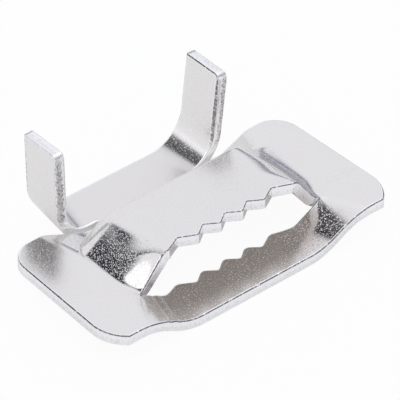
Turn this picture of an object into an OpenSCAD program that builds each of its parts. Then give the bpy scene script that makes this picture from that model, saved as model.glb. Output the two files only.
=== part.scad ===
// Strapping buckle stamped from one sheet, for a band of about 16 mm.
// X runs along the buckle, Y from the front edge to the ears, Z up.
// The origin is on the resting plane, under the middle of the part.

/* [Sheet] */
// thickness of the sheet, mm
sheet_thickness = 1.0; // [0.8:0.05:1.2]

/* [End plates] */
// length of the buckle over both end plates, mm
plate_length = 31.8; // [31:0.1:36]
// depth of the end plates from the front edge to their highest back point, mm
plate_depth = 15.0; // [14.6:0.1:16]
// how much each side edge closes in over its depth, mm
side_taper = 0.35; // [0:0.05:0.8]
// radius of the front corners, mm
front_corner_radius = 3.8; // [2.5:0.1:5]
// radius of the back corners, mm
back_corner_radius = 2.6; // [1.5:0.1:3.2]

/* [Hood] */
// distance of the cut line from the front edge, mm
lip_y = 3.7; // [3.2:0.1:4.4]
// height of the lip's top above the end plates, mm
lip_height = 3.1; // [2.4:0.1:3.6]
// fall of the hood's top from the lip to the ridge, mm
hood_fall = 0.9; // [0.4:0.1:1.2]
// distance of the ridge behind the cut line, mm
hood_length = 7.9; // [7:0.1:8.4]
// width of the cut across both side walls, mm
slot_width = 20.7; // [19.6:0.1:21.4]
// slope of the side walls, degrees
wall_angle = 44; // [40:1:50]

/* [Teeth] */
// distance between neighbouring teeth, mm
tooth_pitch = 2.47; // [2.2:0.01:2.6]
// depth of the teeth, mm
tooth_depth = 0.9; // [0.5:0.05:1.2]

/* [Strips] */
// drop of the front and the rear strip below the end plates, mm
strip_drop = 2.1; // [1.6:0.1:2.6]

/* [Ears] */
// clear distance between the ears, mm
ear_gap = 17.0; // [16.4:0.1:18]
// height of the ears above the rear strip, mm
ear_height = 9.1; // [7:0.1:12]
// width of an ear and of the rear strip, mm
ear_width = 4.4; // [3.6:0.1:5.4]
// inner radius of the ear bends, mm
ear_bend_radius = 4.1; // [2.5:0.1:4.6]
// radius of the ears' top front corners, mm
ear_corner_radius = 1.0; // [0.4:0.1:1.6]

/* [Hidden] */
$fn = 64;
t = sheet_thickness;
// gap between the end plates' back edges and the ears
ear_gap_front = 0.38;
ear_front = plate_depth + ear_gap_front;
total_depth = ear_front + ear_width;
rest = strip_drop + t;
half_length = plate_length / 2;
half_slot = slot_width / 2;
ridge_y = lip_y + hood_length;
ridge_height = lip_height - hood_fall;
// the rear wall joins the ridge to the rear strip, just in front of the ears
rear_foot_y = ear_front - 0.35;
rear_angle = atan((ridge_height + strip_drop) / (rear_foot_y - ridge_y));
fall_angle = atan(hood_fall / hood_length);
// the bend starts this far from the middle
bend_x = ear_gap / 2 - ear_bend_radius;
big = 60;

function unit(v) = v / norm(v);
function turn(a) = a > 180 ? a - 360 : (a < -180 ? a + 360 : a);
// points of a round bend of radius r that replaces the corner p between a and b
function bend(a, p, b, r, n = 6) =
  let (u = unit(a - p), v = unit(b - p), half = acos(u * v) / 2)
  let (c = p + unit(u + v) * r / sin(half))
  let (s = p + u * r / tan(half) - c, e = p + v * r / tan(half) - c)
  let (a0 = atan2(s[1], s[0]), da = turn(atan2(e[1], e[0]) - a0))
  [for (i = [0:n]) c + r * [cos(a0 + da * i / n), sin(a0 + da * i / n)]];
// corner of a path moved down by d, between stretches that fall at angles a and b
function lower(p, a, b, d) =
  let (m = [sin(a) + sin(b), cos(a) + cos(b)])
  p - d * m / (1 + cos(a - b));

// 2-D profile in (Y, Z) swept along X over a width
module along_x(width) {
  rotate([90, 0, 90]) linear_extrude(width, center = true) children();
}

// 2-D profile in (X, Z) swept along Y over the whole depth and more
module along_y() {
  rotate([90, 0, 0]) linear_extrude(2 * big, center = true) children();
}

// everything below the lengthwise line of lip, ridge, rear wall and rear strip, moved down by d
module below_spine(d) {
  p1 = lower([ridge_y, ridge_height], fall_angle, rear_angle, d);
  p2 = lower([rear_foot_y, -strip_drop], rear_angle, 0, d);
  p0 = p1 + 30 * [-cos(fall_angle), sin(fall_angle)];
  p3 = [big, -strip_drop - d];
  along_x(2 * half_length + 2)
    polygon(concat(
      [[p0[0], -big], p0],
      bend(p0, p1, p2, 2.4 - d),
      bend(p1, p2, p3, 0.6 + d),
      [p3, [big, -big]]));
}

// everything below the two side walls of the hood, moved down by d
module below_walls(d) {
  foot = half_slot - d * tan(wall_angle / 2);
  low = 12;
  high = 20;
  x1 = foot + low / tan(wall_angle);
  x2 = foot - high / tan(wall_angle);
  translate([0, lip_y, -d]) rotate([-1, 0, 0])
    along_y() polygon([[-x1, -low], [-x2, high], [x2, high], [x1, -low]]);
}

// everything below a slanted plane through p that falls towards the side and the back, moved down by d
module below_plane(p, fall_x, fall_y, d) {
  translate(p) rotate([0, 0, -atan2(fall_x, fall_y)]) rotate([-atan(norm([fall_x, fall_y])), 0, 0])
    translate([-big, -big, -big - d]) cube([2 * big, 2 * big, big]);
}

// everything below the hood's flatter upper side, its blunt edge and its steep rear corner on the
// right-hand side, moved down by d
module below_corner(d) {
  lean = tan(wall_angle);
  top_x = half_slot - ridge_height / lean;
  intersection() {
    below_plane([half_slot + 0.1, ridge_y - 0.6, 0], 0.81 * lean, 0.06, d);
    below_plane([top_x + 0.53, ridge_y - 0.07, ridge_height - 1.1], 0.85, 0.7, d);
    below_plane([top_x - 0.33, ridge_y, ridge_height - 0.2], 0.82, 1.76, d);
  }
}

// everything below the rear strip's level and the dishes that lead down to it, moved down by d
module below_dish(d) {
  translate([-big, -big, -big - strip_drop - d]) cube([2 * big, 2 * big, big]);
  for (side = [0, 1])
    mirror([side, 0, 0]) below_plane([half_slot + 1.25, plate_depth, 0], -0.46, 0.1, d);
}

// solid under the formed sheet's face, moved down by d
module under_sheet(d) {
  intersection() {
    below_spine(d);
    below_walls(d);
    below_corner(d);
    mirror([1, 0, 0]) below_corner(d);
  }
  intersection() {
    below_dish(d);
    translate([-big, -big, -big - d]) cube([2 * big, 2 * big, big]);
  }
}

// everything below the front strip with its ramps, moved down by d
module below_front(d) {
  ramp = 27;
  x0 = half_slot - 0.35;
  p1 = [x0 - d * tan(ramp / 2), -d];
  p2 = [x0 - strip_drop / tan(ramp) - d * tan(ramp / 2), -strip_drop - d];
  for (side = [-1, 1])
    mirror([side < 0 ? 1 : 0, 0, 0])
      multmatrix([[1, -0.45, 0, 0.45 * lip_y], [0, 1, 0, 0], [0, 0, 1, 0], [0, 0, 0, 1]])
        along_y() polygon(concat(
          [[-big, -big], [-big, -strip_drop - d]],
          bend([-big, -strip_drop - d], p2, p1, 6 + d),
          bend(p2, p1, [big, -d], 3 - d),
          [[big, -d], [big, -big]]));
}

// line of the toothed cut from the right end to the left end
function cut_line() =
  let (half = [[half_length + 5, 0], [half_slot - lip_height - 0.1, 0],
               [2.15 * tooth_pitch, 1], [1.5 * tooth_pitch, 0],
               [tooth_pitch, 1], [0.5 * tooth_pitch, 0]])
  concat([for (p = half) [p[0], lip_y + tooth_depth * p[1]]],
         [[0, lip_y + tooth_depth]],
         [for (i = [len(half) - 1:-1:0]) [-half[i][0], lip_y + tooth_depth * half[i][1]]]);

// right half of the outline behind the front edge, from the front to the back
function half_outline() =
  let (fy = 0.8 * front_corner_radius)
  let (fc = [half_length - front_corner_radius, fy])
  let (bc = [half_length - side_taper - back_corner_radius, plate_depth - back_corner_radius])
  concat(
    [for (a = [-asin(fy / front_corner_radius):9:-1]) fc + front_corner_radius * [cos(a), sin(a)]],
    [[half_length, fy]],
    [for (a = [0:15:90]) bc + back_corner_radius * [cos(a), sin(a)]],
    [[bend_x + 1.2, plate_depth],
     [bend_x + 0.5, plate_depth + 0.2 * ear_gap_front],
     [bend_x, plate_depth + 0.7 * ear_gap_front],
     [bend_x, total_depth]]);

// the whole outline seen from above, ears laid out of it
module outline() {
  right = half_outline();
  polygon(concat(right, [for (i = [len(right) - 1:-1:0]) [-right[i][0], right[i][1]]]));
}

// part of the plan in front of the toothed cut
module ahead_of_cut() {
  polygon(concat(cut_line(), [[-half_length - 5, -5], [half_length + 5, -5]]));
}

// end plates, hood, rear wall and rear strip
module formed_sheet() {
  intersection() {
    difference() {
      under_sheet(0);
      under_sheet(t);
    }
    translate([0, 0, -20]) linear_extrude(40) difference() {
      outline();
      ahead_of_cut();
    }
  }
}

// toothed front strip and the front ends of the plates
module front_strip() {
  intersection() {
    difference() {
      below_front(0);
      below_front(t);
    }
    translate([0, 0, -20]) linear_extrude(40) intersection() {
      outline();
      ahead_of_cut();
    }
  }
}

// one ear: round bend and straight blade with a rounded top front corner
module ear() {
  r = ear_bend_radius;
  c = ear_corner_radius;
  h = ear_height - r;
  translate([bend_x, ear_front, r - strip_drop])
    rotate([-90, 0, 0]) rotate_extrude(angle = 90)
      translate([r, 0]) square([t, ear_width]);
  translate([ear_gap / 2 + t / 2, ear_front, r - strip_drop])
    along_x(t) {
      square([ear_width, h - c]);
      translate([c, 0]) square([ear_width - c, h]);
      translate([c, h - c]) circle(c);
    }
}

// the buckle, one stamped piece
module buckle() {
  color("silver") translate([0, -total_depth / 2, rest]) union() {
    formed_sheet();
    front_strip();
    ear();
    mirror([1, 0, 0]) ear();
  }
}

buckle();
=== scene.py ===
import bpy
import numpy as np
from mathutils import Matrix, Vector


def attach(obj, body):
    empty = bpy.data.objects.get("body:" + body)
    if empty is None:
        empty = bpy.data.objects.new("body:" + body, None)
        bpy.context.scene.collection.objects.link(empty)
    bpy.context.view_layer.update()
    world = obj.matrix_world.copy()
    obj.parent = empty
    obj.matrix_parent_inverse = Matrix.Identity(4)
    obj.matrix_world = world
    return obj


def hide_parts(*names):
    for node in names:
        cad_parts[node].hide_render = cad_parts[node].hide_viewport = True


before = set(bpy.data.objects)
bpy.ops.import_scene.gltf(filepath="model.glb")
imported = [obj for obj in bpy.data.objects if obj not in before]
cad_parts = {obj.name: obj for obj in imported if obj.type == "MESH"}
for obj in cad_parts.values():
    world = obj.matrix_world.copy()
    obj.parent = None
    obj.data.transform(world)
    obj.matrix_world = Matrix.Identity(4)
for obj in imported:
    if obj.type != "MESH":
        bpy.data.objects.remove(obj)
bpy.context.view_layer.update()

# Sizes of the stamped sheet in millimetres. X runs along the buckle, Y back from the front edge,
# Z up from the end plates' upper face; the part's own frame follows when the mesh is made.
# A fall is a drop per millimetre, a round is the difference in height over which two faces join,
# and an uneven value is added on the right and taken off on the left, or the other way about.
SHEET = 1.0
HALF_LENGTH = 15.9
PLATE_DEPTH = 15.0
TOTAL_DEPTH = 19.78
STRIP_DROP = 2.1

# End plates
FRONT_CORNER = 3.8
FRONT_CORNER_Y = 0.8 * FRONT_CORNER
BACK_CORNER = 2.6
SIDE_TAPER = 0.35
TAPER_X = 11.0
TAPER_Y = 3.0
TAPER_RUN = 9.4

# Hood: top and rear, side walls, rear corners, foot
LIP_Y = 3.7
LIP_HEIGHT = 3.1
HOOD_FALL = 0.9 / 7.9
RIDGE_Y = 11.6
RIDGE_ROUND = 0.3
REAR_FALL = 4.3 / 3.43
CREST_X = 7.5
CREST_ROUND = 0.4
CREST_SWELL = 0.8
CREST_SWELL_Y = 7.2
CREST_SWELL_REACH = 2.0
WALL_FALL = 1.03
WALL_EASING = 0.043
LIP_TWIST = 0.28
LIP_TWIST_REACH = 1.3
CORNER_HEIGHT = 2.52
CORNER_HEIGHT_UNEVEN = 0.17
CORNER_X = 7.74
CORNER_SIDE_FALL = 0.82
CORNER_BACK = 0.1
CORNER_BACK_UNEVEN = 0.45
CORNER_BACK_FALL = 1.76
CORNER_ROUND = 1.6
CORNER_ROUND_UNEVEN = 0.6
FOOT_FILLET = 0.62
FOOT_FILLET_UNEVEN = 0.26

# Dish behind the hood
DISH_X = 11.6
DISH_FALL = 0.46
DISH_TILT = 0.1
DISH_FOOT_ROUND = 0.5
DISH_EDGE_ROUND = 0.22

# Ramps from the plates down to the front strip
RAMP_X = 10.37
RAMP_SPLAY = 0.28
RAMP_FALL = 0.55
RAMP_EDGE_ROUND = 0.25
RAMP_EDGE_EASING = 0.25
RAMP_FOOT_ROUND = 0.8
WRINKLE_HEIGHT = 0.04
WRINKLE_PITCH = 0.95
WRINKLE_PLACE = 1.8
WRINKLE_REACH = 0.8

# Slot and toothed cut
SLOT_END = 10.35
SLOT_OPENING = 0.6
END_FADE_X = 0.4
END_FADE_Y = 0.7
TOOTH_X = np.array([0.0, 1.235, 2.47, 3.705, 5.3105, 7.15])
TOOTH_Y = np.array([0.9, 0.0, 0.9, 0.0, 0.9, 0.0])
STRIP_TOOTH_REACH = 0.28
LIP_TOOTH_REACH = 0.13

# Ears; pairs are for the right and the left ear
EAR_FRONT = 15.38
EAR_INNER = 8.5
EAR_INNER_Z = 5.0
EAR_HEIGHT = 9.1
EAR_CORNER = 0.7
EAR_TOP = 15.84
EAR_LEAN = np.radians([5.0, 2.5])
BEND_X = 4.4
BACK_BEND = 3.65
FRONT_BEND_LESS = (0.65, 1.45)
SLIT_ROOT = 15.27
SLIT_OPENING = 1.0

# Sheared edges
ROLL = 0.2
TOOTH_ROLL = 0.14
EAR_ROLL = 0.42
EAR_ROLL_FROM = 7.5
EAR_ROLL_RUN = 2.5
ROLL_DROP = 0.8
LEAST_DROP = 0.1
LOWER_CORNER = 0.05
LOWER_CORNER_PULL = 0.4
LOWER_CORNER_TURN = np.array([0.4, 1.0]) * np.pi / 2
LEAST_MITRE_COSINE = 0.7
TURNED_BACK = 0.5

# Grid: spacing, rows and columns, and how many cells the direction through the sheet is averaged over
STEP = 0.15
STRIP_ROWS = 27
HOOD_ROWS = 84
EAR_ROWS = 32
ROLL_ROWS = 7
WALL_ROWS = 5
PLATE_CORNER_COLUMNS = 25
EAR_CORNER_COLUMNS = 13
TOOTH_COLUMNS = np.array([-0.15, -0.08, 0, 0.08, 0.15])
TOOTH_SAMPLES = 13
THROUGH_REACH = 6
DIFFERENCE = 1e-4
NEAR = 1e-9

# A face is level from this height of its unit normal on, fully so a little above it
LEVEL_FROM = 0.9
LEVEL_RUN = 0.08

# Places of the finishes and of the painted shade, in metres of the part's frame, from where each
# starts to where it is full
FRONT_AT_Y = (-0.0045, -0.0058)
LOWERED_AT_Z = (0.003, 0.002)
# where the painted shade at the front strip's back starts and where it is full
STRIP_BACK_AT_Y = (-0.0097, -0.0078)
BEND_AT_Y = (0.0050, 0.0058)
BEND_AT_Z = (0.0062, 0.0045)
EAR_AT_Y = (0.0049, 0.0056)
EAR_ABOVE_Z = (0.0022, 0.0035)
EAR_BELOW_Z = (0.0101, 0.0094)
# lower back edges and the right end, where the painted shade line of the rolled corner is left off
BACK_EDGE_AT_Y = (0.003, 0.0048)
BACK_EDGE_AT_Z = (0.006, 0.004)
SHORT_OF_RIGHT_END_X = (0.0158, 0.0150)
# heights over which the painted shade on the ears' front edges fades towards their tops
EAR_SHADE_AT_Z = (0.0105, 0.007)

# Depths below the face, as shares of the sheet, where a finish or a painted shade line of the edge
# starts and where it is full
CORNER_SHADE_STARTS = (0.004, 0.02)
CORNER_SHADE_ENDS = (0.11, 0.06)
# depths of the painted shade in the rolled corner of the ears' front edges
EAR_SHADE_STARTS = (0.0, 0.02)
EAR_SHADE_ENDS = (0.2, 0.1)
TORN_STARTS = (0.85, 1.05)
RAGGED_SHARE = 0.9

# Values of the noises where specks, painted glints, flecks and painted shade lines start and where
# they are full
SPECKS_IN_NOISE = (0.56, 0.72)
GLINTS_IN_MOTTLE = (0.36, 0.56)
FLECKS_IN_NOISE = (0.5, 0.6)
CORNER_SHADE_IN_NOISE = (0.3, 0.5)
EAR_SHADE_IN_NOISE = (0.35, 0.6)

# Relief, roughness and tearing, each elsewhere and at the place that it is named for
DRAWN_RELIEF = (1.0, 3.5)
BEND_RELIEF = (1.0, 0.35)
CALM_RELIEF = (1.0, 0.45)
DRAWN_SPECK_MATT = (0.2, 0.4)
CALM_SPECK_MATT = (1.0, 0.5)
LEVEL_MATT = (0.1, 0.2)
BEND_MATT = (1.0, 2.1)
TORN_MATT = (0.18, 0.4)
EAR_TEARING = (0.15, 1.0)
NOT_THERE = (1.0, 0.0)

# Grain per metre of the finishes, and the height of its specks in metres
SHEET_GRAIN = 9000.0
FRONT_GRAIN = 7000.0
EDGE_GRAIN = 6000.0
RAGGED_GRAIN = 4600.0
MOTTLE_GRAIN = 420.0
SPECK_HEIGHT = 0.000008

# Tones of the steel, with painted shade and painted glints put into its colour
STEEL = (0.865, 0.845, 0.82)
STEEL_LIGHT = (0.875, 0.855, 0.83)
# darker, warmer tone of the front strip: painted shade for the hood's dark hollow that it mirrors
FRONT_STRIP_PAINTED_SHADE = (0.82, 0.775, 0.75)
# painted shade at the front strip's back, towards the hood
STRIP_BACK_PAINTED_SHADE = (0.57, 0.52, 0.495)
# painted glint: bright specks on the front strip
PAINTED_GLINT = (0.99, 0.97, 0.92)
POLISHED_LAND = (0.985, 0.98, 0.975)
TORN_STEEL = (0.74, 0.73, 0.72)
DARK_FLECK = (0.36, 0.36, 0.365)
# painted shade along the rolled upper corner of the cut edges
CORNER_PAINTED_SHADE = (0.2, 0.2, 0.21)
# painted shade in the rolled corner of the ears' front edges
EAR_PAINTED_SHADE = (0.3, 0.3, 0.3)

# Light of the tent's parts
TENT = (0.865, 0.872, 0.925)
HIGH_RIGHT = (1.25, 1.26, 1.3)
FRONT_GREY = (0.52, 0.53, 0.57)
LOW_GREY = (0.24, 0.255, 0.33)
LEFT_PANEL = (1.32, 1.32, 1.34)
DARK_GAP = (0.03, 0.032, 0.042)
WHITE = (1.0, 1.0, 1.0)
GAP_SLANT = -0.28

# Floor: its white, and its own light's share in reflections and for the camera
FLOOR_WHITE = (0.97, 0.97, 0.97, 1)
FLOOR_IN_MIRROR = 0.22
FLOOR_IN_CAMERA = 0.94

PICTURE = 400


def eased(v):
    """0 below 0 and 1 above 1, with a smooth S between: v squared times (3 - 2 v)."""
    v = np.clip(v, 0.0, 1.0)
    return v * v * (3 - 2 * v)


def bell(v, reach):
    """Bell curve: 1 at zero, fading off to either side as e to the minus (v / reach) squared."""
    return np.exp(-(v / reach) ** 2)


def unit(v):
    """Vectors divided by their lengths."""
    return v / np.linalg.norm(v, axis=-1, keepdims=True)


def soft_min(a, b, k):
    """The lower of two heights; where they differ by less than k the crease is rounded off."""
    h = np.maximum(k - np.abs(a - b), 0.0)
    return np.minimum(a, b) - h * h / (4 * k)


def soft_max(a, b, k):
    """The higher of two heights, with the valley between them filled over a difference of k."""
    return -soft_min(-a, -b, k)


def hood_height(x, y):
    """Hood: the lowest of a top that falls back from the lip and drops at the ridge, side walls
    that turn down from the crest, steepest beside the lip where a bell curve twists them, and rear
    corners that fall steeply to the side and the back. The crest is rounded most half-way back."""
    a = np.abs(x)
    hand = np.tanh(x)
    top = LIP_HEIGHT - HOOD_FALL * (y - LIP_Y)
    rear = LIP_HEIGHT - HOOD_FALL * (RIDGE_Y - LIP_Y) - REAR_FALL * (y - RIDGE_Y)
    steep = WALL_FALL - WALL_EASING * (y - LIP_Y) + LIP_TWIST * bell(y - LIP_Y, LIP_TWIST_REACH)
    wall = top - steep * (a - CREST_X)
    corner_y = RIDGE_Y + CORNER_BACK + CORNER_BACK_UNEVEN * hand
    corner = (CORNER_HEIGHT - CORNER_HEIGHT_UNEVEN * hand
              - CORNER_SIDE_FALL * (a - CORNER_X) - CORNER_BACK_FALL * (y - corner_y))
    side = soft_min(wall, corner, CORNER_ROUND - CORNER_ROUND_UNEVEN * hand)
    crest_round = CREST_ROUND + CREST_SWELL * bell(y - CREST_SWELL_Y, CREST_SWELL_REACH)
    return soft_min(soft_min(top, rear, RIDGE_ROUND), side, crest_round)


def base_height(x, y):
    """End plates at zero; behind the hood a dish falls inwards from them to the rear strip's level."""
    a = np.abs(x)
    plate = np.zeros_like(a)
    dish = -DISH_FALL * (DISH_X - a) + DISH_TILT * (PLATE_DEPTH - y)
    return soft_min(soft_max(dish, plate - STRIP_DROP, DISH_FOOT_ROUND), plate, DISH_EDGE_ROUND)


def rear_height(x, y):
    """Sheet behind the cut: the higher of the hood and the plates, with a fillet at the foot that is
    wider on the right."""
    fillet = FOOT_FILLET + FOOT_FILLET_UNEVEN * np.tanh(x)
    return soft_max(hood_height(x, y), base_height(x, y), fillet)


def strip_height(x, y):
    """Sheet ahead of the cut: plates at zero, a slanted ramp and the lowered strip, softly joined; the
    plates bend into the ramp more gently towards the front. The left ramp has two shallow wrinkles,
    a sine that a bell curve fades off."""
    ahead = np.maximum(LIP_Y - y, 0)
    inward = RAMP_X + RAMP_SPLAY * ahead - np.abs(x)
    plate = np.zeros_like(inward)
    bent = soft_min(-RAMP_FALL * inward, plate, RAMP_EDGE_ROUND + RAMP_EDGE_EASING * ahead)
    sheet = soft_max(bent, plate - STRIP_DROP, RAMP_FOOT_ROUND)
    wrinkle = np.sin(2 * np.pi * inward / WRINKLE_PITCH) * bell(inward - WRINKLE_PLACE, WRINKLE_REACH)
    return sheet + WRINKLE_HEIGHT * (x < 0) * wrinkle


def sheet_height(x, y, behind):
    """Either side of the cut; near the slot's ends each side gives up half of the step between
    them, fading off as a bell curve, so that both meet where the slot ends."""
    edge = np.maximum(np.abs(x), SLOT_END)
    line = np.full_like(edge, LIP_Y)
    half = 0.5 * (strip_height(edge, line) - rear_height(edge, line))
    within = np.maximum(SLOT_END - np.abs(x), 0)
    fade = bell(y - LIP_Y, END_FADE_Y) * bell(within, END_FADE_X)
    return rear_height(x, y) + half * fade if behind else strip_height(x, y) - half * fade


def spaced(stops, step=STEP):
    """Numbers that run through all the stops, about step apart in between."""
    runs = [np.linspace(a, b, max(2, int(np.ceil((b - a) / step)) + 1))[:-1]
            for a, b in zip(stops[:-1], stops[1:])]
    return np.append(np.concatenate(runs), stops[-1])


def mirrored(half):
    """A run of numbers from zero, carried on to the other side."""
    return np.concatenate([-half[:0:-1], half])


def shares(count):
    """Even shares from 0 to 1 as a column, one for each row of a grid."""
    return np.linspace(0, 1, count)[:, None]


def quarter_turn(count):
    """Even angles up to a right angle, without the zero."""
    return np.linspace(0, np.pi / 2, count + 1)[1:]


def plan_columns():
    """Columns across the plan: close beside each tooth's tip and root, and closing up as the sine
    of an angle towards the ends, where the corners turn."""
    near = (TOOTH_X[:, None] + TOOTH_COLUMNS).ravel()
    stops = np.unique(np.round(np.concatenate([near[near >= 0], [BEND_X, SLOT_END]]), 4))
    end = HALF_LENGTH - ROLL
    kink = HALF_LENGTH - FRONT_CORNER + np.sqrt(
        (FRONT_CORNER - ROLL) ** 2 - (FRONT_CORNER_Y - ROLL) ** 2)
    closing = kink + (end - kink) * np.sin(quarter_turn(PLATE_CORNER_COLUMNS))
    return mirrored(np.concatenate([spaced(np.append(stops, kink)), closing]))


def front_line(x):
    """Front edge: straight, then a round corner up to the side edge."""
    reach = np.clip(np.abs(x) - HALF_LENGTH + FRONT_CORNER, 0, FRONT_CORNER - ROLL)
    return np.maximum(FRONT_CORNER_Y - np.sqrt((FRONT_CORNER - ROLL) ** 2 - reach ** 2), ROLL)


def cut_side(x):
    """How far the slot is open: 0 at its ends, 1 from a short way in."""
    return eased((SLOT_END - np.abs(x)) / SLOT_OPENING)


def cut_line(x, reach):
    """Zigzag of the toothed cut, straight beyond the outer teeth; averaging over a short reach to
    either side rounds its corners."""
    reach = reach * np.linspace(-1, 1, TOOTH_SAMPLES)[:, None]
    return LIP_Y + np.interp(np.abs(x + reach), TOOTH_X, TOOTH_Y, right=0.0).mean(0)


def slit_side(x):
    """How far the slit between plate and ear is open: 0 at its root, 1 from a short way out."""
    return eased((np.abs(x) - BEND_X) / SLIT_OPENING)


def back_line(x):
    """Back edge: the rear strip's front line, the slit, the straight edge and a round corner."""
    reach = np.clip(np.abs(x) - HALF_LENGTH + BACK_CORNER, 0, BACK_CORNER - ROLL)
    corner = PLATE_DEPTH - BACK_CORNER + np.sqrt((BACK_CORNER - ROLL) ** 2 - reach ** 2)
    return SLIT_ROOT + (corner - SLIT_ROOT) * slit_side(x)


def narrowed(x, y):
    """Plan points with the side edges drawn in towards the back."""
    share = eased((np.abs(x) - TAPER_X) / (HALF_LENGTH - TAPER_X))
    back = np.clip((y - TAPER_Y) / TAPER_RUN, 0, 1)
    return x - np.sign(x) * SIDE_TAPER * share * back


def face_of_height(x, y, behind):
    """Points and unit normals of a height over the plan; the slopes are central differences."""
    e = DIFFERENCE
    x = narrowed(x, y)
    z = sheet_height(x, y, behind)
    zx = (sheet_height(x + e, y, behind) - sheet_height(x - e, y, behind)) / (2 * e)
    zy = (sheet_height(x, y + e, behind) - sheet_height(x, y - e, behind)) / (2 * e)
    return np.stack([x, y, z], -1), unit(np.stack([-zx, -zy, np.ones_like(z)], -1))


def ear_place(s, y):
    """Rear strip and ears unrolled along s: flat, then round a bend that is wider at the back than at
    the front, then straight up the blade, which leans out a little. Past the strip the run is
    stretched so that each row of points ends at the blade's top."""
    lean = np.where(s > 0, *EAR_LEAN)
    less = np.where(s > 0, *FRONT_BEND_LESS)
    bend = BACK_BEND - less * (TOTAL_DEPTH - y) / (TOTAL_DEPTH - EAR_FRONT)
    arc = np.pi / 2 - lean
    z_end = -STRIP_DROP + bend * (1 - np.cos(arc))
    x_end = EAR_INNER + np.tan(lean) * (z_end - EAR_INNER_Z)
    flat = x_end - bend * np.sin(arc) - BEND_X
    blade = (EAR_HEIGHT - STRIP_DROP - z_end) / np.cos(lean)
    whole = flat + bend * arc + blade
    run = np.maximum(np.abs(s) - BEND_X, 0) * whole / (EAR_TOP - BEND_X)
    turn = np.clip((run - flat) / bend, 0, arc)
    up = np.maximum(run - flat - bend * arc, 0)
    level = np.minimum(np.abs(s), BEND_X) + np.minimum(run, flat)
    x = level + bend * np.sin(turn) + up * np.sin(lean)
    z = -STRIP_DROP + bend * (1 - np.cos(turn)) + up * np.cos(lean)
    return np.stack([np.sign(s) * x, y, z], -1)


def face_of_ears(s, y):
    """Points and unit normals of the rear strip and ears; the normal is the cross product of the
    central differences along s and y. The inner face is the sheet's upper face."""
    e = DIFFERENCE
    along = ear_place(s + e, y) - ear_place(s - e, y)
    back = ear_place(s, y + e) - ear_place(s, y - e)
    return ear_place(s, y), unit(np.cross(along, back))


def ear_corner_share(s):
    """How far into the ears' top corner: 0 where its round starts, 1 at the top."""
    return np.clip((np.abs(s) - EAR_TOP + EAR_CORNER) / (EAR_CORNER - ROLL), 0, 1)


def ear_roll(s):
    """Width of the rolled corner along the ears' front edge: full on the blade, less in the bend and
    round the top."""
    blade = eased((np.abs(s) - EAR_ROLL_FROM) / EAR_ROLL_RUN) * (1 - ear_corner_share(s) ** 2)
    return (ROLL + (EAR_ROLL - ROLL) * blade) * slit_side(s)


def ear_front(s):
    """Front edge of the ears: from the slit's root out to the blade, and round the top corner."""
    corner = (EAR_CORNER - ROLL) * (1 - np.sqrt(1 - ear_corner_share(s) ** 2))
    return SLIT_ROOT + (EAR_FRONT + corner - SLIT_ROOT) * slit_side(s) + ear_roll(s)


def averaged(normal, axis, reach=THROUGH_REACH):
    """Normals averaged over a few cells to either side along one way of the grid, then made unit."""
    pad = [(reach, reach) if n == axis else (0, 0) for n in range(3)]
    wide = np.pad(normal, pad, mode="edge")
    count = normal.shape[axis]
    return unit(sum(np.take(wide, np.arange(k, k + count), axis) for k in range(2 * reach + 1)))


def through_sheet(strip, hood, beyond):
    """Direction through the sheet's thickness: the upper face's normals averaged both ways, so that
    the lower face turns its corners in a round; past the slot's ends strip and hood are one."""
    joint = averaged(np.concatenate([strip, hood[1:]]), 0)
    rows = len(strip)
    strip = np.where(beyond[:, None], joint[:rows], averaged(strip, 0))
    hood = np.where(beyond[:, None], joint[rows - 1:], averaged(hood, 0))
    return averaged(strip, 1), averaged(hood, 1)


def grid_faces(index):
    """Quads of a grid of vertex numbers, wound so that they face up the third way."""
    corners = [index[:-1, :-1], index[:-1, 1:], index[1:, 1:], index[1:, :-1]]
    return np.stack(corners, -1).reshape(-1, 4)


def edge_rows(point, normal, roll):
    """Sheared edge carried along a closed line: a rolled upper corner as a quarter ellipse, a
    straight wall and a small lower corner, each row set out from the line and down by a depth. The
    way out is mitred between the two neighbouring stretches; where the line turns back on itself,
    at the slot's ends, it runs into the slot."""
    back, ahead = np.roll(point, 1, 0), np.roll(point, -1, 0)
    out_before = unit(np.cross(point - back, normal))
    out = out_before + unit(np.cross(ahead - point, normal))
    size = np.linalg.norm(out, axis=1, keepdims=True)
    into = (back + ahead) / 2 - point
    into /= np.maximum(np.linalg.norm(into, axis=1, keepdims=True), NEAR)
    turned = size < TURNED_BACK
    out = np.where(turned, into, out / np.maximum(size, NEAR))
    cosine = np.clip(np.sum(out * out_before, 1, keepdims=True), LEAST_MITRE_COSINE, 1)
    mitre = np.where(turned, 1.0, 1 / cosine)
    quarter = quarter_turn(ROLL_ROWS)[:, None]
    wall = shares(WALL_ROWS + 1)[1:]
    low = LOWER_CORNER_TURN[:, None]
    drop = np.maximum(ROLL_DROP * roll, LEAST_DROP)[None]
    depth = np.concatenate([drop * (1 - np.cos(quarter)),
                            drop + (SHEET - LOWER_CORNER - drop) * wall,
                            SHEET - LOWER_CORNER * (1 - np.sin(low)) + 0 * drop])
    reach = np.concatenate([np.sin(quarter), np.ones_like(wall),
                            1 - LOWER_CORNER_PULL * (1 - np.cos(low))])
    tilt = np.concatenate([np.cos(quarter), np.zeros_like(wall), -np.sin(low)])[..., None]
    place = point + out * mitre * (roll * reach)[..., None] - normal * depth[..., None]
    return place, out * np.sqrt(1 - tilt ** 2) + normal * tilt, depth


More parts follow.
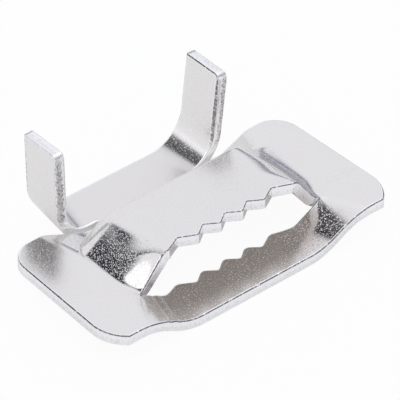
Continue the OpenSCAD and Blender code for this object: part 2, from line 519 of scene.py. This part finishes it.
def buckle_mesh():
    """The whole stamping as one closed mesh: an upper face of three joined grids (front strip,
    hood with plates, rear strip with ears), the same grids one sheet lower along the normals, and
    sheared edges round the outline and round the slot."""
    x = plan_columns()
    round_from = EAR_TOP - EAR_CORNER
    s_out = np.concatenate([
        spaced([BEND_X, BEND_X + SLIT_OPENING, round_from])[1:],
        round_from + (EAR_CORNER - ROLL) * np.sin(quarter_turn(EAR_CORNER_COLUMNS))])
    inner = np.abs(x) <= BEND_X + NEAR
    s = np.concatenate([-s_out[::-1], x[inner], s_out])
    beyond = np.abs(x) >= SLOT_END - NEAR
    cut_roll = np.where(np.abs(x) < TOOTH_X[-1], TOOTH_ROLL, ROLL) * cut_side(x)

    # Points and normals of the three grids
    y_front, y_back = front_line(x), back_line(x)
    y_strip, y_hood = cut_line(x, STRIP_TOOTH_REACH), cut_line(x, LIP_TOOTH_REACH)
    y = y_front + (y_strip - cut_roll - y_front) * shares(STRIP_ROWS)
    grids = [face_of_height(np.broadcast_to(x, y.shape), y, False)]
    y = y_hood + cut_roll + (y_back - y_hood - cut_roll) * shares(HOOD_ROWS)
    grids.append(face_of_height(np.broadcast_to(x, y.shape), y, True))
    y = ear_front(s) + (TOTAL_DEPTH - ROLL - ear_front(s)) * shares(EAR_ROWS)
    grids.append(face_of_ears(np.broadcast_to(s, y.shape), y))
    point = np.concatenate([g[0].reshape(-1, 3) for g in grids])
    normal = np.concatenate([g[1].reshape(-1, 3) for g in grids])
    ways = (*through_sheet(grids[0][1], grids[1][1], beyond), grids[2][1])
    through = np.concatenate([way.reshape(-1, 3) for way in ways])

    # Vertex numbers, shared past the slot's ends and where the rear strip joins the hood
    starts = np.cumsum([0] + [g[0].shape[0] * g[0].shape[1] for g in grids])
    strip, hood, ears = [np.arange(a, b).reshape(g[0].shape[:2])
                         for a, b, g in zip(starts[:-1], starts[1:], grids)]
    hood[0, beyond] = strip[-1, beyond]
    kept = np.flatnonzero(np.abs(s) <= BEND_X + NEAR)
    ears[0, kept] = hood[-1, inner]
    upper = np.concatenate([grid_faces(strip), grid_faces(hood), grid_faces(ears)])

    # Closed lines round the outline and round the slot
    first, last = np.flatnonzero(inner)[[0, -1]]
    outline = np.concatenate([
        strip[0], strip[1:, -1], hood[1:, -1], hood[-1, last:-1][::-1], ears[0, kept[-1] + 1:],
        ears[1:, -1], ears[-1, :-1][::-1], ears[:-1, 0][::-1], ears[0, 1:kept[0]],
        hood[-1, :first + 1][::-1], hood[:-1, 0][::-1], strip[1:-1, 0][::-1]])
    ends = np.flatnonzero(~beyond)[[0, -1]] + [-1, 1]
    slot = np.concatenate([strip[-1, ends[0]:ends[1]], hood[0, ends[0] + 1:ends[1] + 1][::-1]])

    # Width of the rolled corner at each point of the upper face
    count = len(point)
    roll_at = np.full(count, ROLL)
    roll_at[strip[-1]] = np.where(beyond, ROLL, cut_roll)
    roll_at[hood[0, ~beyond]] = cut_roll[~beyond]
    roll_at[hood[-1]] = ROLL * slit_side(x)
    roll_at[ears[0]] = ear_roll(s)
    roll_at[strip[-1, ends]] = 0.0
    roll_at[hood[-1, [0, -1]]] = ROLL

    # Lower face and sheared edges
    places, facings, edges = [point, point - SHEET * through], [normal, -through], []
    marks, total = [np.zeros(2 * count)], 2 * count
    for line in (outline, slot[::-1]):
        place, facing, depth = edge_rows(point[line], through[line], roll_at[line])
        numbers = total + np.arange(place.shape[0] * place.shape[1]).reshape(place.shape[:2])
        total += numbers.size
        wall = np.concatenate([line[None], numbers, count + line[None]])
        edges.append(grid_faces(np.concatenate([wall, wall[:, :1]], 1))[:, ::-1])
        places.append(place.reshape(-1, 3))
        facings.append(facing.reshape(-1, 3))
        marks.append(depth.ravel() / SHEET)
    faces = np.concatenate([upper, (upper + count)[:, ::-1]] + edges)
    on_edge = np.arange(len(faces)) >= 2 * len(upper)
    used, flat = np.unique(faces, return_inverse=True)
    return (np.concatenate(places)[used], np.concatenate(facings)[used],
            np.concatenate(marks)[used], flat.reshape(faces.shape), on_edge)


def node(tree, kind, **values):
    """A node with its inputs set by name and its other values by attribute."""
    made = tree.nodes.new(kind)
    for key, value in values.items():
        if key in made.inputs:
            made.inputs[key].default_value = value
        else:
            setattr(made, key, value)
    return made


def maths(tree, operation, *values):
    """One step of arithmetic; each value is a number or a link."""
    made = node(tree, "ShaderNodeMath", operation=operation)
    for socket, value in zip(made.inputs, values):
        if isinstance(value, float):
            socket.default_value = value
        else:
            tree.links.new(value, socket)
    return made.outputs[0]


def axes(tree, kind):
    """X, Y and Z of one kind of texture coordinates."""
    axis = node(tree, "ShaderNodeSeparateXYZ")
    tree.links.new(node(tree, "ShaderNodeTexCoord").outputs[kind], axis.inputs[0])
    return [axis.outputs[name] for name in "XYZ"]


def ramp(tree, value, start, end):
    """Smooth step of a value: 0 at start, 1 at end."""
    made = node(tree, "ShaderNodeMapRange", interpolation_type="SMOOTHSTEP")
    made.inputs["From Min"].default_value, made.inputs["From Max"].default_value = start, end
    tree.links.new(value, made.inputs["Value"])
    return made.outputs["Result"]


def spread(tree, value, low, high):
    """A value from 0 to 1 carried over to a range."""
    made = node(tree, "ShaderNodeMapRange")
    made.inputs["To Min"].default_value, made.inputs["To Max"].default_value = low, high
    tree.links.new(value, made.inputs["Value"])
    return made.outputs["Result"]


def product(tree, *values):
    """Values multiplied together."""
    result = values[0]
    for value in values[1:]:
        result = maths(tree, "MULTIPLY", result, value)
    return result


def zone(tree, *limits):
    """Smooth steps multiplied together, each given as a value, its start and its end."""
    return product(tree, *[ramp(tree, *limit) for limit in limits])


def blend(tree, share, below, above):
    """One colour over another by a share; each is a colour or a link."""
    made = node(tree, "ShaderNodeMix", data_type="RGBA")
    tree.links.new(share, made.inputs[0])
    for socket, colour in ((made.inputs[6], below), (made.inputs[7], above)):
        if isinstance(colour, tuple):
            socket.default_value = (*colour, 1.0)
        else:
            tree.links.new(colour, socket)
    return made.outputs[2]


def grain_group():
    """Shader group: fine grain of cold-rolled sheet. Two noises on the piece's own coordinates give
    scattered raised specks, with their normal, and a slow mottling."""
    group = bpy.data.node_groups.new("sheet_grain", "ShaderNodeTree")
    face = group.interface
    for name, value in (("Grain per metre", SHEET_GRAIN), ("Relief", 1.0)):
        face.new_socket(name, in_out="INPUT", socket_type="NodeSocketFloat").default_value = value
    face.new_socket("Normal", in_out="OUTPUT", socket_type="NodeSocketVector")
    face.new_socket("Mottle", in_out="OUTPUT", socket_type="NodeSocketFloat")
    face.new_socket("Specks", in_out="OUTPUT", socket_type="NodeSocketFloat")
    given, result = node(group, "NodeGroupInput"), node(group, "NodeGroupOutput")
    where = node(group, "ShaderNodeTexCoord")
    fine = node(group, "ShaderNodeTexNoise", Detail=1.0, Roughness=0.5)
    slow = node(group, "ShaderNodeTexNoise", Scale=MOTTLE_GRAIN, Detail=3.0)
    bump = node(group, "ShaderNodeBump", Distance=SPECK_HEIGHT)
    link = group.links.new
    link(where.outputs["Object"], fine.inputs["Vector"])
    link(where.outputs["Object"], slow.inputs["Vector"])
    link(given.outputs["Grain per metre"], fine.inputs["Scale"])
    link(given.outputs["Relief"], bump.inputs["Strength"])
    specks = ramp(group, fine.outputs["Fac"], *SPECKS_IN_NOISE)
    link(specks, bump.inputs["Height"])
    link(specks, result.inputs["Specks"])
    link(bump.outputs["Normal"], result.inputs["Normal"])
    link(slow.outputs["Fac"], result.inputs["Mottle"])
    return group


def metal(name, group):
    """A steel finish with the grain group's normal; gives its material, its shader and the group."""
    material = bpy.data.materials.new(name)
    material.use_nodes = True
    tree = material.node_tree
    shader = tree.nodes["Principled BSDF"]
    shader.inputs["Metallic"].default_value = 1.0
    fine = node(tree, "ShaderNodeGroup", node_tree=group)
    tree.links.new(fine.outputs["Normal"], shader.inputs["Normal"])
    return material, shader, fine


def bright_sheet(group):
    """Rolled face of the sheet: bright stainless steel whose tone drifts with the mottle, with matt
    specks. Level faces and the ears' bends are less glossy than the pressed walls, and the front
    strip, drawn through the die, is grainier, with painted glints; its darker, warmer tone is painted
    shade for the hood's hollow that it mirrors, darkest at its back, towards the hood."""
    material, shader, fine = metal("bright_sheet", group)
    tree = material.node_tree
    link = tree.links.new
    specks, mottle = fine.outputs["Specks"], fine.outputs["Mottle"]
    _, y, z = axes(tree, "Object")
    front = ramp(tree, y, *FRONT_AT_Y)
    drawn = product(tree, front, ramp(tree, z, *LOWERED_AT_Z))
    bent = zone(tree, (y, *BEND_AT_Y), (z, *BEND_AT_Z))
    level = node(tree, "ShaderNodeAttribute", attribute_name="level_face").outputs["Fac"]
    calm = product(tree, level, spread(tree, drawn, *NOT_THERE))
    relief = product(tree, spread(tree, drawn, *DRAWN_RELIEF), spread(tree, bent, *BEND_RELIEF),
                     spread(tree, calm, *CALM_RELIEF))
    link(relief, fine.inputs["Relief"])
    link(spread(tree, front, SHEET_GRAIN, FRONT_GRAIN), fine.inputs["Grain per metre"])
    matt = product(tree, specks, spread(tree, drawn, *DRAWN_SPECK_MATT),
                   spread(tree, calm, *CALM_SPECK_MATT))
    ground = product(tree, spread(tree, level, *LEVEL_MATT), spread(tree, bent, *BEND_MATT))
    link(maths(tree, "ADD", matt, ground), shader.inputs["Roughness"])
    # painted shade: the front strip darker towards its back, beside the hood
    strip_back_shade = product(tree, drawn, ramp(tree, y, *STRIP_BACK_AT_Y))
    # painted glints: bright specks put into the colour of the front strip
    painted_glints = product(tree, drawn, specks, ramp(tree, mottle, *GLINTS_IN_MOTTLE))
    tone = blend(tree, mottle, STEEL, STEEL_LIGHT)
    # painted shade: the whole front strip darker and warmer, as the hood's hollow that it mirrors
    tone = blend(tree, drawn, tone, FRONT_STRIP_PAINTED_SHADE)
    tone = blend(tree, strip_back_shade, tone, STRIP_BACK_PAINTED_SHADE)
    tone = blend(tree, painted_glints, tone, PAINTED_GLINT)
    link(tone, shader.inputs["Base Color"])
    return material


def sheared_edge(group):
    """Cut edge of the sheet, by its depth below the face: a painted shade line in the rolled corner,
    left off the lower back edges and the right end, a polished land, then a torn zone with a ragged
    border and dark flecks. The ears' front edges are torn most and have the widest painted shade
    line, weaker towards their tops."""
    material, shader, fine = metal("sheared_edge", group)
    fine.inputs["Grain per metre"].default_value = EDGE_GRAIN
    tree = material.node_tree
    link = tree.links.new
    depth = node(tree, "ShaderNodeAttribute", attribute_name="shear_depth").outputs["Fac"]
    x, y, z = axes(tree, "Object")
    noise = node(tree, "ShaderNodeTexNoise", Scale=RAGGED_GRAIN, Detail=2.0, Roughness=0.6)
    link(node(tree, "ShaderNodeTexCoord").outputs["Object"], noise.inputs["Vector"])
    ragged = noise.outputs["Fac"]
    border = maths(tree, "MULTIPLY_ADD", ragged, RAGGED_SHARE, depth)
    on_ears = zone(tree, (y, *EAR_AT_Y), (z, *EAR_ABOVE_Z), (z, *EAR_BELOW_Z))
    on_back = zone(tree, (y, *BACK_EDGE_AT_Y), (z, *BACK_EDGE_AT_Z))
    torn = product(tree, ramp(tree, border, *TORN_STARTS), spread(tree, on_ears, *EAR_TEARING))
    flecks = product(tree, torn, ramp(tree, ragged, *FLECKS_IN_NOISE))
    # painted shade line in the rolled corner, left off the lower back edges and the right end
    line = product(tree, zone(tree, (depth, *CORNER_SHADE_STARTS), (depth, *CORNER_SHADE_ENDS)),
                   spread(tree, on_back, *NOT_THERE),
                   zone(tree, (x, *SHORT_OF_RIGHT_END_X), (ragged, *CORNER_SHADE_IN_NOISE)))
    # painted shade along the ears' rolled front edges, weaker towards their tops
    ear_shade = product(tree, on_ears, zone(tree, (depth, *EAR_SHADE_STARTS), (depth, *EAR_SHADE_ENDS),
                                       (z, *EAR_SHADE_AT_Z), (ragged, *EAR_SHADE_IN_NOISE)))
    tone = blend(tree, torn, POLISHED_LAND, TORN_STEEL)
    tone = blend(tree, flecks, tone, DARK_FLECK)
    tone = blend(tree, line, tone, CORNER_PAINTED_SHADE)
    tone = blend(tree, ear_shade, tone, EAR_PAINTED_SHADE)
    link(tone, shader.inputs["Base Color"])
    link(spread(tree, torn, *TORN_MATT), shader.inputs["Roughness"])
    return material


def studio_world():
    """Pale light tent, brighter high at the right and on a panel at the left, greyer towards the
    front and low at the back right, with a dark gap between panels up behind the left end. Seen by
    the camera it is white. Each part is a zone of the direction: its x, y and z, its lean to the
    left from straight up, and a slant that mixes y with that lean."""
    world = bpy.data.worlds.new("studio")
    bpy.context.scene.world = world
    world.use_nodes = True
    tree = world.node_tree
    x, y, z = axes(tree, "Generated")
    lean = maths(tree, "ARCTAN2", maths(tree, "MULTIPLY", x, -1.0), z)
    slant = maths(tree, "MULTIPLY_ADD", lean, GAP_SLANT, y)
    high = zone(tree, (z, 0.72, 0.84), (x, 0.2, 0.4), (y, 0.45, 0.2))
    front = zone(tree, (y, -0.35, -0.7), (z, 0.7, 0.3))
    low = zone(tree, (z, 0.36, 0.12), (x, 0.35, 0.7), (y, 0.87, 0.76))
    panel = zone(tree, (x, -0.4, -0.55), (y, -0.05, 0.1), (y, 0.55, 0.43), (slant, 0.3, 0.15),
                 (z, 0.27, 0.4))
    gap = zone(tree, (lean, 0.02, 0.25), (lean, 0.9, 0.83), (slant, 0.1, 0.25), (y, 0.81, 0.62))
    light = TENT
    for part, colour in ((high, HIGH_RIGHT), (front, FRONT_GREY), (low, LOW_GREY),
                         (panel, LEFT_PANEL), (gap, DARK_GAP)):
        light = blend(tree, part, light, colour)
    seen = node(tree, "ShaderNodeLightPath")
    light = blend(tree, seen.outputs["Is Camera Ray"], light, WHITE)
    tree.links.new(light, tree.nodes["Background"].inputs["Color"])


def white_floor():
    """Floor: white and matt, and for the camera and in reflections partly self-lit, so that it reads
    as a white sheet that still takes the part's soft shadow."""
    mesh = bpy.data.meshes.new("floor")
    mesh.from_pydata([(-1, -1, 0), (1, -1, 0), (1, 1, 0), (-1, 1, 0)], [], [(0, 1, 2, 3)])
    floor = bpy.data.objects.new("floor", mesh)
    bpy.context.scene.collection.objects.link(floor)
    material = bpy.data.materials.new("white_paper")
    material.use_nodes = True
    tree = material.node_tree
    tree.nodes.clear()
    link = tree.links.new
    matt = node(tree, "ShaderNodeBsdfDiffuse", Color=FLOOR_WHITE)
    lit = node(tree, "ShaderNodeEmission", Color=(*WHITE, 1))
    seen = node(tree, "ShaderNodeLightPath").outputs
    mirror = maths(tree, "MAXIMUM", seen["Is Glossy Ray"], seen["Is Transmission Ray"])
    weak = maths(tree, "MULTIPLY", mirror, FLOOR_IN_MIRROR)
    share = maths(tree, "MULTIPLY_ADD", seen["Is Camera Ray"], FLOOR_IN_CAMERA, weak)
    mix = node(tree, "ShaderNodeMixShader")
    link(share, mix.inputs[0])
    link(matt.outputs[0], mix.inputs[1])
    link(lit.outputs[0], mix.inputs[2])
    link(mix.outputs[0], node(tree, "ShaderNodeOutputMaterial").inputs["Surface"])
    mesh.materials.append(material)


def studio_camera():
    """Long lens from the front left, turned a little about its own axis as in the photograph. The
    part's middle lies at a column and row of the picture, off its centre, at so many pixels to the
    millimetre."""
    right = Vector((0.755176, -0.655171, 0.021446))
    down = Vector((-0.396449, -0.482529, -0.781021))
    ahead = Vector((0.522051, 0.581306, -0.624136))
    middle = Vector((0.0, 0.00011, 0.0031))
    column, row, per_mm = 182.509, 209.041, 11.6155
    distance, sensor = 0.3552, 36.0
    centre = PICTURE / 2
    target = middle + (right * (centre - column) / per_mm / 1000
                       + down * (centre - row) / per_mm / 1000)
    camera = bpy.data.objects.new("camera", bpy.data.cameras.new("camera"))
    bpy.context.scene.collection.objects.link(camera)
    camera.matrix_world = Matrix.Translation(target - ahead * distance) @ Matrix(
        (right, -down, -ahead)).transposed().to_4x4()
    camera.data.sensor_width = sensor
    camera.data.lens = per_mm * distance * 1000 * sensor / PICTURE
    camera.data.clip_start, camera.data.clip_end = 0.01, 10.0
    bpy.context.scene.camera = camera


def make_buckle():
    """The stamping as one piece in the part's frame, with its faces and its sheared edges in two
    finishes of the same steel."""
    point, normal, mark, faces, on_edge = buckle_mesh()
    point = (point + np.array([0, -TOTAL_DEPTH / 2, STRIP_DROP + SHEET])) / 1000
    mesh = bpy.data.meshes.new("stamped_buckle")
    mesh.from_pydata(point, [], faces)
    mesh.polygons.foreach_set("use_smooth", np.ones(len(faces), bool))
    mesh.polygons.foreach_set("material_index", on_edge.astype(np.int32))
    level = eased((np.abs(normal[:, 2]) - LEVEL_FROM) / LEVEL_RUN)
    for name, value in (("shear_depth", mark), ("level_face", level)):
        attribute = mesh.attributes.new(name, "FLOAT", "POINT")
        attribute.data.foreach_set("value", value.astype(np.float32))
    mesh.update()
    mesh.normals_split_custom_set_from_vertices(normal)
    group = grain_group()
    mesh.materials.append(bright_sheet(group))
    mesh.materials.append(sheared_edge(group))
    piece = bpy.data.objects.new("stamped_buckle", mesh)
    bpy.context.scene.collection.objects.link(piece)
    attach(piece, "root")
    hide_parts("buckle")


bpy.context.scene.view_settings.view_transform = "Standard"
studio_camera()
studio_world()
white_floor()
make_buckle()
